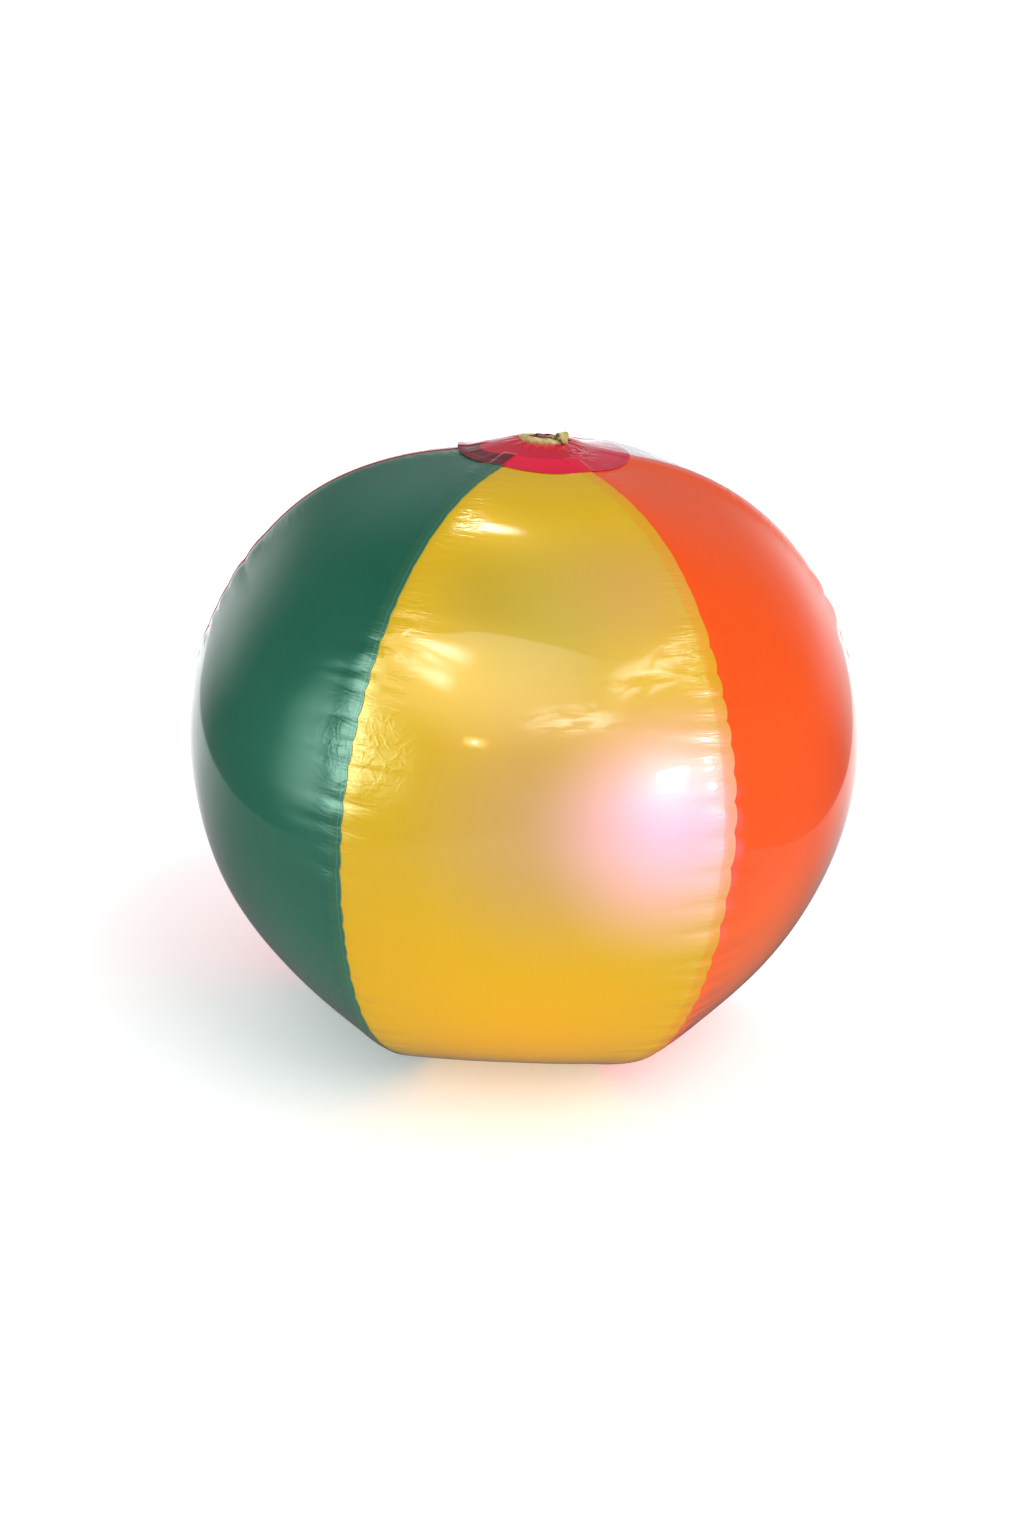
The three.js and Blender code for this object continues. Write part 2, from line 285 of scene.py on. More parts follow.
CROWN_ROWS = 150
BELLY_ROWS = 130


def panel_latitudes():
    """Row latitudes from a panel's upper tip to the edge of the flat patch, about evenly spaced along it."""
    fine = np.linspace(math.radians(82), math.radians(-90), 4000)
    radius, height = outline(fine)
    run = np.concatenate([[0], np.cumsum(np.hypot(np.diff(radius), np.diff(height)))])
    tip = run[np.argmax(radius > 0.94 * TIP_RADIUS)]
    along = np.linspace(tip, run[-1], CROWN_ROWS + BELLY_ROWS)
    return np.interp(along, run, fine), along - tip


def panel_columns():
    """Across a panel: shares of the lap beyond and inside the left seam, an even middle, the right seam."""
    margin = [1, 0.8, 0.5, 0.2]
    left = [0, 0.2, 0.5, 0.8, 1.2]
    right = [-3, -2.6, -2.2, -1.9, -1.65, -1.4, -1.2, -1.1, -1, -0.9]
    right += [-0.75, -0.6, -0.45, -0.3, -0.2, -0.1, -0.04, 0]
    return -np.array(margin), np.array(left), np.linspace(0, 1, 46)[1:-1], np.array(right)


def panel_azimuths(lap):
    """The azimuths of each row's points, with the panel's middle at 0."""
    margin, left, middle, right = panel_columns()
    first = -HALF_PANEL + left[-1] * lap
    last = HALF_PANEL + right[0] * lap
    columns = [-HALF_PANEL + margin * lap, -HALF_PANEL + left * lap]
    columns += [first + (last - first) * middle, HALF_PANEL + right * lap]
    return np.concatenate(columns, axis=1)


def per_column(values, count):
    """One value per row, the same in each of count columns."""
    return np.repeat(values[:, None], count, 1)


def panel_grid(seam_left, seam_right, turn):
    """Outer and inner points of the panel centred on azimuth turn, and its distances from both seams."""
    latitudes, along = panel_latitudes()
    radius, _ = outline(latitudes)
    lap = np.minimum(LAP_WIDTH / radius, LAP_MOST)[:, None]
    azimuth = panel_azimuths(lap)
    count = azimuth.shape[1]
    latitude, along = per_column(latitudes, count), per_column(along, count)
    section = section_radius(per_column(radius, count), latitude, azimuth)
    from_left = (azimuth + HALF_PANEL) * section
    from_right = (azimuth - HALF_PANEL) * section
    live = liveliness(latitude)
    push_left, _ = pillows(seam_left, along, from_left)
    push_right, wave = pillows(seam_right, along, from_right)
    lap_width = lap * section
    to_edge = smooth(from_right, -lap_width, 0)
    azimuth = azimuth + wave * (0.25 + 0.75 * live) * to_edge / section
    points, normal = bag_frame(latitude, azimuth + turn)
    points[..., 2] += floor_lift(np.linalg.norm(points[..., :2], axis=-1)) * (latitude < 0)
    raised = (FILM + LAYER) * smooth(from_right, -2.8 * lap_width, -1.05 * lap_width)
    off_floor = smooth(latitude, math.radians(-80), math.radians(-50))
    push = raised + live * (push_left + push_right) + off_floor * unevenness(points)
    outer = points + normal * push[..., None]
    inner = outer - normal * FILM
    return outer, inner, {"along": along, "from_left": from_left, "from_right": -from_right}


def floor_lift(radius):
    """The film leaves the floor gradually round the flat patch."""
    return 1.5 * MM * smooth(radius, 42 * MM, 51 * MM) * (1 - smooth(radius, 60 * MM, 110 * MM))


# The panel's last rows under the ball: radius and height in mm
UNDER_ROWS = ((47, 0.8), (44, 0.3), (43.2, 0.3), (42.4, 0.6), (36, 0.6), (28, 0.6))


def floor_rows(outer, inner):
    """The panel's last rows turn under and run flat on the floor to beneath the bottom cap."""
    edge = outer[-1]
    outward = edge[:, :2] / np.linalg.norm(edge[:, :2], axis=1, keepdims=True)
    rows_outer, rows_inner = [], []
    for radius, height in UNDER_ROWS:
        row = np.concatenate([outward * radius * MM, np.full((len(edge), 1), height * MM)], axis=1)
        rows_outer.append(row)
        rows_inner.append(row + np.array([0, 0, FILM]))
    return np.concatenate([outer, np.stack(rows_outer)]), np.concatenate([inner, np.stack(rows_inner)])


def make_panel(i):
    """Panel i, lifted wherever it would pass through the floor."""
    outer, inner, distances = panel_grid(SEAMS[i - 1], SEAMS[i], i * PANEL_TURN)
    rows = outer.shape[0]
    outer, inner = floor_rows(outer, inner)
    lift = np.maximum(-np.minimum(outer[..., 2], inner[..., 2]), 0)
    outer[..., 2] += lift
    inner[..., 2] += lift
    extra = outer.shape[0] - rows
    padded = {key: np.concatenate([grid, np.repeat(grid[-1:], extra, 0)]) for key, grid in distances.items()}
    return sheet_mesh("panel_" + PANELS[i].split("_")[1], outer, inner, attributes=padded)


# ---------------------------------------------------------------- end caps


def ring_frame(radii, azimuths):
    """Points and normals of the crown at true radii."""
    fine = np.linspace(math.radians(88), 0, 3000)
    latitude = np.empty((len(radii), len(azimuths)))
    for j, azimuth in enumerate(azimuths):
        sections = section_radius(outline(fine)[0], fine, azimuth)
        latitude[:, j] = np.interp(radii, sections, fine)
    return bag_frame(latitude, np.repeat(azimuths[None], len(radii), 0))


def polar(radii, azimuths):
    """Radius and angle of every point of a round grid."""
    return per_column(radii, len(azimuths)), np.repeat(azimuths[None], len(radii), 0)


def over_tips(ring, angle):
    """How far the ends of the panels' laps lift the cap."""
    turns = angle / PANEL_TURN - 0.5
    to_seam = (turns - np.round(turns)) * PANEL_TURN * ring
    lap = smooth(to_seam, -8.5 * MM, -6 * MM) * (1 - smooth(to_seam, 0.1 * MM, 1.6 * MM))
    return (FILM + LAYER) * smooth(ring, 26 * MM, 29 * MM) * lap


def welded(ring):
    """1 in the band where a cap is welded down, 0 inside it."""
    return smooth(ring, CAP_RADIUS - 4.2 * MM, CAP_RADIUS - 3.4 * MM)


def puckers(ring, angle):
    """Uneven radial folds: low ones towards the edge, sharper ones round the valve."""
    random = np.random.default_rng(SEED + 50)
    wave = np.zeros_like(ring)
    for count in (7, 11, 17, 26, 41):
        wave += np.sin(count * angle + random.uniform(0, 6.28)) / math.sqrt(count)
    edge = smooth(ring, 24 * MM, CAP_RADIUS)
    collar = 1 - smooth(ring, 13 * MM, 24 * MM)
    low = 0.22 * MM * np.abs(wave) * edge * (1 - 0.6 * welded(ring))
    return low + 0.3 * MM * np.abs(np.sin(9 * angle + 0.8 * np.sin(3 * angle))) * collar


LOOSE_AZIMUTH = math.radians(262)
LOOSE_LIFT = 0.9 * MM


def make_top_cap():
    """The cap lies on the panels' tips, a little loose at its edge, and climbs to the valve's collar."""
    azimuths = np.linspace(0, 2 * math.pi, 360, endpoint=False)
    radii = np.linspace(RIM_RADIUS + 0.25 * MM, CAP_RADIUS, 56)
    radii = np.concatenate([radii[:-1], [CAP_RADIUS - 0.35 * MM, CAP_RADIUS]])
    points, normal = ring_frame(radii, azimuths)
    ring, angle = polar(radii, azimuths)
    loose = np.exp(-(((angle - LOOSE_AZIMUTH) / 0.35) ** 2)) * smooth(ring, 36 * MM, CAP_RADIUS)
    push = unevenness(points) + FILM + 2 * LAYER + over_tips(ring, angle) + LOOSE_LIFT * loose
    push += puckers(ring, angle) + 0.12 * MM * welded(ring)
    outer = points + normal * push[..., None]
    return sheet_mesh("end_cap_top", outer, outer - normal * FILM, True, {"ring": ring})


def make_bottom_cap():
    """The cap that the ball stands on, its middle a hair off the floor."""
    azimuths = np.linspace(0, 2 * math.pi, 120, endpoint=False)
    ring, angle = polar(np.linspace(0.4 * MM, CAP_RADIUS, 24), azimuths)
    rise = 0.05 * MM * (1 + np.sin(8 * angle) * np.sin(ring / (4 * MM))) * (1 - welded(ring))
    points = np.stack([ring * np.sin(angle), -ring * np.cos(angle), rise], axis=-1)[:, ::-1]
    return sheet_mesh("end_cap_bottom", points, points + np.array([0, 0, FILM]), True)


# ---------------------------------------------------------------- valve

# In millimetres, heights above the crown, as in the CAD part
COLLAR_WALL = 0.6
COLLAR_INSIDE = 9.9
COLLAR_FOOT = -11.7
RING_RADIUS = 18
STEM_BORE = 4.5
STEM_RADIUS = 6
STEM_FOOT = 8
STEM_BOTTOM = -12
STEM_TOP = 3
LID_RADIUS = 7
LID_HEIGHTS = (3.3, 4.7)
PLUG_RADIUS = 4.2
FLAP_RADIUS = 4.2


def rounded(points, radius, steps=4):
    """A closed outline of [radius, height] points with its corners rounded."""
    result = []
    count = len(points)
    for i, point in enumerate(points):
        here, before, after = (np.array(points[k % count], float) for k in (i, i - 1, i + 1))
        if here[0] < 1e-6:
            result.append(here)
            continue
        back, ahead = before - here, after - here
        reach = min(radius, np.linalg.norm(back) / 2.2, np.linalg.norm(ahead) / 2.2)
        start = here + back / np.linalg.norm(back) * reach
        end = here + ahead / np.linalg.norm(ahead) * reach
        for t in np.linspace(0, 1, steps):
            result.append((1 - t) ** 2 * start + 2 * t * (1 - t) * here + t * t * end)
    return np.array(result)


def turned_mesh(name, points, segments=96, shape=None):
    """A closed outline in millimetres above the crown, turned about the ball's axis and moved by shape."""
    azimuths = np.linspace(0, 2 * math.pi, segments, endpoint=False)
    ring = np.repeat(points[:, :1] * MM, segments, 1)
    height = np.repeat(points[:, 1:] * MM, segments, 1)
    angle = np.repeat(azimuths[None], len(points), 0)
    if shape:
        ring, height = shape(ring, height, angle)
    grid = np.stack([ring * np.sin(angle), -ring * np.cos(angle), height + CROWN_HEIGHT], -1)
    index = joined(np.arange(len(points) * segments).reshape(len(points), segments))
    around = np.concatenate([index, index[:1]], axis=0)
    piece = mesh_object(name, grid.reshape(-1, 3), quads(around).tolist())
    merge = piece.modifiers.new("merge", "WELD")
    merge.merge_threshold = 0.001 * MM
    return apply_modifiers(piece)


def apply_modifiers(piece):
    """The piece's mesh becomes what its modifiers make of it."""
    graph = bpy.context.evaluated_depsgraph_get()
    made = bpy.data.meshes.new_from_object(piece.evaluated_get(graph))
    piece.modifiers.clear()
    piece.data = made
    return piece


def path_sides(path):
    """Unit directions across a path, to its left."""
    run = np.gradient(path, axis=0)
    run /= np.linalg.norm(run, axis=1, keepdims=True)
    return np.stack([-run[:, 1], run[:, 0]], axis=1)


def wall(path, thickness):
    """The closed outline of a wall of even thickness along a path."""
    path = np.array(path, float)
    side = path_sides(path) * thickness / 2
    return np.concatenate([path - side, (path + side)[::-1]])


def arc(centre, radius, start, end, steps):
    """Points along part of a circle."""
    angles = np.linspace(start, end, steps)
    return [(centre[0] + radius * math.cos(a), centre[1] + radius * math.sin(a)) for a in angles]


def crown_above(radius):
    """Height of the bag above the crown's pole at a radius, in millimetres."""
    fine = np.linspace(math.radians(89), 0, 3000)
    rings, heights = outline(fine)
    height = np.interp(radius * MM, rings, heights)
    return (height + cone_rise(np.array(radius * MM)) - CROWN_HEIGHT) / MM


def uneven_rim(ring, height, angle):
    """The hand-pressed collar isn't level: it stands highest in front and on the left."""
    at_rim = np.clip(height / (5 * MM), 0, 1)
    level = -1.8 * (1 - np.cos(angle - math.radians(325)))
    ripple = 0.22 * np.sin(5 * angle + 1) + 0.15 * np.sin(9 * angle)
    return ring + 0.25 * MM * at_rim * np.sin(3 * angle + 0.5), height + at_rim * (level + ripple) * MM


def make_collar():
    """The soft collar: up from the cap, rolled over at the rim and down to the stem's foot."""
    outside, inside = RIM_RADIUS / MM - COLLAR_WALL / 2, COLLAR_INSIDE
    roll = (outside - inside) / 2
    top = ((outside + inside) / 2, RIM_HEIGHT / MM - COLLAR_WALL / 2 - roll)
    foot = (inside - roll, COLLAR_FOOT + roll)
    start = crown_above(RIM_RADIUS / MM) - 0.8
    path = [(outside, h) for h in np.linspace(start, top[1], 8)[:-1]]
    path += arc(top, roll, 0, math.pi, 14)
    path += [(inside, h) for h in np.linspace(top[1], foot[1], 24)[1:-1]]
    path += arc(foot, roll, 0, -math.pi / 2, 8)
    path += [(STEM_FOOT + COLLAR_WALL / 2, COLLAR_FOOT)]
    return turned_mesh("valve_collar", wall(path, COLLAR_WALL), 128, uneven_rim)


def make_flange():
    """The ring welded under the cap, with low round ribs."""
    radii = np.linspace(RIM_RADIUS / MM + 0.25, RING_RADIUS, 10)
    rib = [0.25 * (0.5 - 0.5 * math.cos(2 * math.pi * i / 3)) for i in range(10)]
    bottom = [(r, crown_above(r) - 0.85) for r in radii]
    top = [(r, crown_above(r) - 0.3 + 0.12 * k) for r, k in zip(radii, rib)]
    return turned_mesh("valve_ring", np.array(bottom + top[::-1]), 128)


def make_stem():
    """The tube, with a foot that carries the collar."""
    foot_top = STEM_BOTTOM + 1.2
    points = [(STEM_BORE, STEM_BOTTOM), (STEM_FOOT, STEM_BOTTOM), (STEM_FOOT, foot_top)]
    points += [(STEM_RADIUS, foot_top), (STEM_RADIUS, STEM_TOP), (5, STEM_TOP), (STEM_BORE, STEM_TOP - 0.5)]
    return turned_mesh("valve_tube", rounded(points, 0.35))


def make_stopper():
    """A tapered plug under a lid with a shallow dish."""
    low, high = LID_HEIGHTS
    edge = 0.4
    points = [(0, 0.6), (2.8, 0.6), (PLUG_RADIUS, low), (LID_RADIUS - edge, low), (LID_RADIUS, low + edge)]
    points += [(LID_RADIUS, high - edge), (LID_RADIUS - edge, high), (PLUG_RADIUS, high)]
    points += [(3.9, 4.5), (1.6, 4.5), (1.3, high), (0, high)]
    return turned_mesh("stopper", rounded(points, 0.3))


def make_flap():
    """The non-return flap, a thin disc inside the tube's lower end."""
    points = [(0, STEM_BOTTOM), (FLAP_RADIUS, STEM_BOTTOM), (FLAP_RADIUS, -11.4), (2.6, -11.4)]
    points += [(2.4, -11.5), (0, -11.5)]
    return turned_mesh("flap_disc", rounded(points, 0.15))


# In millimetres, distance from the axis and height above the crown: the tube's side, over the rim, the lid
STRAP_ROUTE = (
    (6.3, -1), (7.8, -0.6), (8.4, 1), (8.6, 4.2), (9.5, 6.6), (11.3, 7.2), (12.8, 6.2), (13.6, 5.7),
    (14, 6.7), (13, 8.9), (11, 10.2), (8.4, 9.2), (5.6, 6.3), (3.8, 5.35),
)
STRAP_AZIMUTH = math.radians(55)
STRAP_WIDTH = 4
STRAP_THICKNESS = 0.56


def spline(points, steps):
    """An even curve through the points."""
    points = np.array(points, float)
    ends = [2 * points[0] - points[1], 2 * points[-1] - points[-2]]
    full = np.concatenate([ends[:1], points, ends[1:]])
    curve = []
    for i in range(1, len(full) - 2):
        p0, p1, p2, p3 = full[i - 1 : i + 3]
        for t in np.linspace(0, 1, steps, endpoint=False):
            bend = (2 * p0 - 5 * p1 + 4 * p2 - p3) * t**2 + (3 * p1 - p0 - 3 * p2 + p3) * t**3
            curve.append((2 * p1 + (p2 - p0) * t + bend) / 2)
    return np.array(curve + [points[-1]])


def hump(share, middle, reach):
    """1 at a place along the strap, falling off within reach of it."""
    return np.exp(-(((share - middle) / reach) ** 2))


def strap_rows():
    """Cross-sections along the ribbon: wide and cupped on top of its fold, pinched beside the rim."""
    path = spline(STRAP_ROUTE, 10)
    share = np.linspace(0, 1, len(path))
    width = STRAP_WIDTH + 2.4 * hump(share, 0.73, 0.09) - 2.3 * hump(share, 0.54, 0.08)
    cup = 1.5 * hump(share, 0.7, 0.12)
    swing = STRAP_AZIMUTH - math.radians(14) * hump(share, 0.6, 0.2)
    half = STRAP_THICKNESS / 2
    section = rounded([(-0.5, -half), (0.5, -half), (0.5, half), (-0.5, half)], 0.12)
    rows = []
    for point, side, wide, bow, azimuth in zip(path, path_sides(path), width, cup, swing):
        sideways = section[:, 0] * wide
        thick = section[:, 1] + bow * (1 - 4 * section[:, 0] ** 2)
        out = point[0] + side[0] * thick
        up = point[1] + side[1] * thick
        x = out * math.sin(azimuth) + sideways * math.cos(azimuth)
        y = -out * math.cos(azimuth) + sideways * math.sin(azimuth)
        rows.append(np.stack([x * MM, y * MM, up * MM + CROWN_HEIGHT], axis=1))
    return np.stack(rows)


def make_strap():
    """The ribbon that holds the stopper: up inside the collar, folded over the rim and back."""
    grid = strap_rows()
    count, around = grid.shape[:2]
    index = joined(np.arange(count * around).reshape(count, around))
    faces = quads(index).tolist()
    faces += [index[0, :-1][::-1].tolist(), index[-1, :-1].tolist()]
    return mesh_object("stopper_strap", grid.reshape(-1, 3), faces, sharp=60)


# ---------------------------------------------------------------- materials


def direction(azimuth, elevation):
    """The way out from the ball at an azimuth from -Y towards +X and an elevation."""
    flat = math.cos(elevation)
    return Vector((math.sin(azimuth) * flat, -math.cos(azimuth) * flat, math.sin(elevation)))


class Nodes:
    """Adds nodes to one tree. Inputs may be numbers, colours or the outputs of other nodes."""

    def __init__(self, tree):
        self.tree = tree

    def put(self, socket, value):
        """Link an output to the socket, or set its constant."""
        if isinstance(value, bpy.types.NodeSocket):
            self.tree.links.new(value, socket)
        else:
            socket.default_value = value

    def node(self, kind, inputs, **settings):
        """A new node with its settings and inputs."""
        made = self.tree.nodes.new(kind)
        for key, value in settings.items():
            setattr(made, key, value)
        for key, value in inputs.items():
            self.put(made.inputs[key], value)
        return made

    def math(self, operation, a, b=0.0, c=0.0):
        return self.node("ShaderNodeMath", {0: a, 1: b, 2: c}, operation=operation).outputs[0]

    def range(self, value, low, high, start=0.0, end=1.0):
        """An even curve from start to end as the value goes from low to high."""
        inputs = {"Value": value, "From Min": low, "From Max": high, "To Min": start, "To Max": end}
        return self.node("ShaderNodeMapRange", inputs, interpolation_type="SMOOTHSTEP").outputs[0]

    def mix(self, share, a, b, blend="MIX"):
        made = self.node("ShaderNodeMix", {0: share, 6: a, 7: b}, data_type="RGBA", blend_type=blend)
        return made.outputs[2]

    def noise(self, scale, detail=2.0, vector=None, distortion=0.0):
        inputs = {"Scale": scale, "Detail": detail, "Distortion": distortion}
        inputs["Vector"] = vector or self.place()
        return self.node("ShaderNodeTexNoise", inputs).outputs["Fac"]

    def place(self):
        """The point in metres, which for every piece is its place in the part's frame at rest."""
        return self.node("ShaderNodeTexCoord", {}).outputs["Object"]

    def attribute(self, name):
        return self.node("ShaderNodeAttribute", {}, attribute_name=name).outputs["Fac"]

    def near(self, point, reach):
        """1 at a point of the object, falling to 0 at a distance."""
        distance = self.node("ShaderNodeVectorMath", {0: self.place(), 1: point}, operation="DISTANCE")
        return self.range(distance.outputs["Value"], reach, 0.0)

    def bump(self, height, strength, distance, normal=None):
        inputs = {"Height": height, "Strength": strength, "Distance": distance}
        if normal:
            inputs["Normal"] = normal
        return self.node("ShaderNodeBump", inputs).outputs["Normal"]

    def toward(self, way, azimuth, elevation, reach, strength):
        """strength at one direction, falling to 0 at reach degrees from it."""
        aim = tuple(direction(math.radians(azimuth), math.radians(elevation)))
        share = self.node("ShaderNodeVectorMath", {0: way, 1: aim}, operation="DOT_PRODUCT").outputs["Value"]
        return self.range(self.math("ARCCOSINE", share), math.radians(reach), 0.0, 0.0, strength)

    def emission(self, shade, strength):
        return self.node("ShaderNodeEmission", {"Color": shade, "Strength": strength}).outputs[0]

    def output(self, shader, name="Material Output"):
        self.tree.links.new(shader, self.tree.nodes[name].inputs["Surface"])


class Shader(Nodes):
    """The nodes of one new material with a Principled surface."""

    def __init__(self, name):
        self.material = bpy.data.materials.new(name)
        self.material.use_nodes = True
        super().__init__(self.material.node_tree)
        self.surface = self.tree.nodes["Principled BSDF"]

    def set(self, **inputs):
        """Inputs of the surface by name, with _ for a space."""
        for key, value in inputs.items():
            self.put(self.surface.inputs[key.replace("_", " ")], value)


def colour(red, green, blue):
    """Linear RGBA from the usual 0 to 255 values."""
    def linear(value):
        share = value / 255
        return share / 12.92 if share <= 0.04045 else ((share + 0.055) / 1.055) ** 2.4

    return (linear(red), linear(green), linear(blue), 1.0)


def spot(azimuth, latitude):
    """A point of the bag's surface from its azimuth and latitude in degrees."""
    return tuple(bag_point(np.array(math.radians(latitude)), np.array(math.radians(azimuth))))


def panel_tint(s, base, painted_washes):
    """The panel's colour with slow clouds of tone and its local tints of painted light."""
    cloud = s.noise(9.0, 3.0)
    tint = s.mix(s.range(cloud, 0.35, 0.7, 0.0, 0.35), base, tuple(0.86 * c for c in base[:3]) + (1,))
    for azimuth, latitude, reach, shade, share in painted_washes:
        # each tint paints light onto the film: glow, bounce or sheen
        mask = s.near(spot(azimuth, latitude), reach * MM)
        tint = s.mix(s.math("MULTIPLY", mask, share), tint, shade)
    return tint


def seam_tint(s, tint, from_right, base, under, lap_share, edge_glint_share):
    """The lap's second layer, and a painted highlight on the weld line and the cut edge, on top of the
    panel's colour.
    """
    ragged = s.math("MULTIPLY_ADD", s.noise(160.0), 0.8 * MM, from_right)
    lap = s.range(ragged, LAP_WIDTH + 0.9 * MM, LAP_WIDTH + 0.3 * MM)
    tint = s.mix(s.math("MULTIPLY", lap, lap_share), tint, under)
    # painted highlight: the cut edge and the weld line lit as if they catch the light
    bright = tuple(min(1.6 * c + 0.05, 1.0) for c in base[:3]) + (1,)
    cut = s.range(ragged, 1.1 * MM, 0.6 * MM)
    weld = s.math("MULTIPLY", s.range(ragged, 1.8 * MM, 2.1 * MM), s.range(ragged, 2.7 * MM, 2.4 * MM))
    return s.mix(s.math("MULTIPLY", s.math("MAXIMUM", cut, weld), edge_glint_share), tint, bright)


def ridges(s, scale, distortion, width, where):
    """Thin creases like those of handled film, where the mask is 1."""
    ridge = s.math("ABSOLUTE", s.math("SUBTRACT", s.noise(scale, 2.0, distortion=distortion), 0.5))
    return s.math("MULTIPLY", s.range(ridge, width, 0.0), where)


def panel_normal(s, from_right):
    """Fine waves all over, creases by the yellow panel's left seam and crinkles beside every seam."""
    near_seam = s.range(s.math("MINIMUM", s.attribute("from_left"), from_right), 26 * MM, 3 * MM)
    lengthwise = s.node("ShaderNodeCombineXYZ", {0: s.math("MULTIPLY", s.attribute("along"), 330.0)})
    s.put(lengthwise.inputs[1], s.math("MULTIPLY", from_right, 60.0))
    crinkle = s.noise(1.0, 3.0, lengthwise.outputs[0], 0.6)
    normal = s.bump(s.noise(24.0, 2.0), 0.1, 1.0 * MM)
    creased = ridges(s, 70.0, 1.5, 0.1, s.near(spot(-28, 15), 34 * MM))
    normal = s.bump(creased, 0.22, 0.4 * MM, normal)
    return s.bump(s.math("MULTIPLY", crinkle, near_seam), 0.45, 0.8 * MM, normal)


def film(name, base, under, painted_washes=(), lap_share=0.1, edge_glint_share=0.1):
    """Glossy pearl film. under is the neighbour's colour, which shows in the lap. The local tints are mostly
    painted light: glow through the film, bounce from the floor and sheen.
    """
    s = Shader(name)
    from_right = s.attribute("from_right")
    tint = panel_tint(s, base, painted_washes)
    tint = seam_tint(s, tint, from_right, base, under, lap_share, edge_glint_share)
    normal = panel_normal(s, from_right)
    s.set(Base_Color=tint, Roughness=s.range(s.noise(30.0, 3.0), 0.3, 0.7, 0.29, 0.35), Normal=normal)
    s.set(Metallic=0.12, Specular_IOR_Level=0.25, Coat_Weight=1.0, Coat_Roughness=0.03, Coat_IOR=1.5)
    s.put(s.surface.inputs["Coat Normal"], normal)
    return s.material


YELLOW = colour(222, 180, 30)
ORANGE = colour(255, 88, 22)
WHITE = colour(218, 210, 226)
BLUE = colour(40, 100, 176)
RED = colour(206, 44, 58)
GREEN = colour(34, 104, 82)

# Each panel's painted light, partly also the film's own uneven tone: painted glow of light through the film,
# painted bounce light low down, a painted pink sheen beside the right highlight and painted pale reflections
# near the top. Azimuth and latitude in degrees, reach in mm, colour, share
PAINTED_LIGHT_WASHES = {
    "gore_yellow": [
        (2, 40, 60, colour(190, 172, 84), 0.6),
        (-14, 40, 40, colour(186, 160, 50), 0.5),
        (19, 44, 50, colour(214, 162, 92), 0.6),
        (3, 8, 85, colour(204, 160, 112), 0.75),
        # painted sheen: a pink halo beside the right highlight
        (22, 7, 72, colour(250, 184, 180), 0.8),
        # painted light: the lower panel glowing with the floor's bounce
        (0, -46, 120, colour(252, 182, 0), 0.9),
        (-24, -20, 70, colour(240, 180, 20), 0.5),
    ],
    "gore_green": [(-60, 62, 60, colour(84, 130, 118), 0.4), (-50, -40, 110, colour(66, 128, 104), 0.8)],
    "gore_orange": [(60, 62, 70, colour(232, 92, 58), 0.5), (50, -36, 110, colour(255, 122, 52), 0.9)],
}
BASES = dict(zip(PANELS, (YELLOW, ORANGE, WHITE, BLUE, RED, GREEN)))
# How strongly a panel's lap shows and how strongly its painted highlight on the weld line and cut edge shows,
# where they don't show as usual
USUAL_SHARES = (0.1, 0.1)
SEAM_SHARES = {"gore_yellow": (0.2, 0.0), "gore_green": (0.02, 0.5)}

# The crimson cap over each panel's tip, in the panels' order
CAP_OVER = (
    colour(232, 16, 62),
    colour(214, 46, 74),
    colour(206, 84, 112),
    colour(120, 34, 74),
    colour(186, 30, 52),
    colour(112, 18, 34),
)
CAP_ALONE = colour(206, 20, 54)
CAP_ON_RING = colour(214, 26, 44)
CAP_WELDED = colour(160, 16, 50)


def cap_over_tips(s):
    """The cap's colour over the tips: a sector for each panel."""
    x, y, _ = s.node("ShaderNodeSeparateXYZ", {0: s.place()}).outputs
    angle = s.math("ARCTAN2", x, s.math("MULTIPLY", y, -1.0))
    turns = s.math("FRACT", s.math("ADD", s.math("DIVIDE", angle, 2 * math.pi), 1 + 0.5 / len(PANELS)))
    ramp = s.node("ShaderNodeValToRGB", {"Fac": turns})
    ramp.color_ramp.interpolation = "CONSTANT"
    stops = ramp.color_ramp.elements
    while len(stops) < len(CAP_OVER):
        stops.new(1.0)
    for i, shade in enumerate(CAP_OVER):
        stops[i].position = i / len(CAP_OVER)
        stops[i].color = shade
    return ramp.outputs["Color"]


def cap_tint(s):
    """The cap's colour: alone in the middle, over the valve's ring, over the tips and in its weld."""
    ring = s.attribute("ring")
    wobble = s.math("MULTIPLY_ADD", s.noise(70.0), 1.2 * MM, ring)
    on_green = s.near((-32 * MM, -12 * MM, CROWN_HEIGHT), 26 * MM)
    wobble = s.math("MULTIPLY_ADD", on_green, -4 * MM, wobble)
    tips = s.range(wobble, TIP_RADIUS + 0.3 * MM, TIP_RADIUS + 0.9 * MM)
    tint = s.mix(tips, CAP_ALONE, cap_over_tips(s))
    on_ring = s.range(ring, (RING_RADIUS + 0.6) * MM, RING_RADIUS * MM)
    tint = s.mix(s.math("MULTIPLY", on_ring, 0.5), tint, CAP_ON_RING)
    weld = s.range(ring, CAP_RADIUS - 4.4 * MM, CAP_RADIUS - 3.8 * MM)
    return s.mix(s.math("MULTIPLY", weld, 0.12), tint, CAP_WELDED)


def cap_film():
    """Crimson film through which the panel tips and the valve's ring show, creased at the front right."""
    s = Shader("cap_film")
    tint = cap_tint(s)
    normal = s.bump(s.noise(90.0, 3.0), 0.35, 0.6 * MM)
    creased = ridges(s, 110.0, 1.2, 0.12, s.near((16 * MM, -17 * MM, CROWN_HEIGHT), 13 * MM))
    normal = s.bump(creased, 0.5, 0.9 * MM, normal)
    s.set(Base_Color=tint, Roughness=s.range(s.noise(60.0), 0.3, 0.7, 0.29, 0.38), Normal=normal)
    s.set(Metallic=0.1, Specular_IOR_Level=0.25, Coat_Weight=0.9, Coat_Roughness=0.05)
    s.put(s.surface.inputs["Coat Normal"], normal)
    return s.material


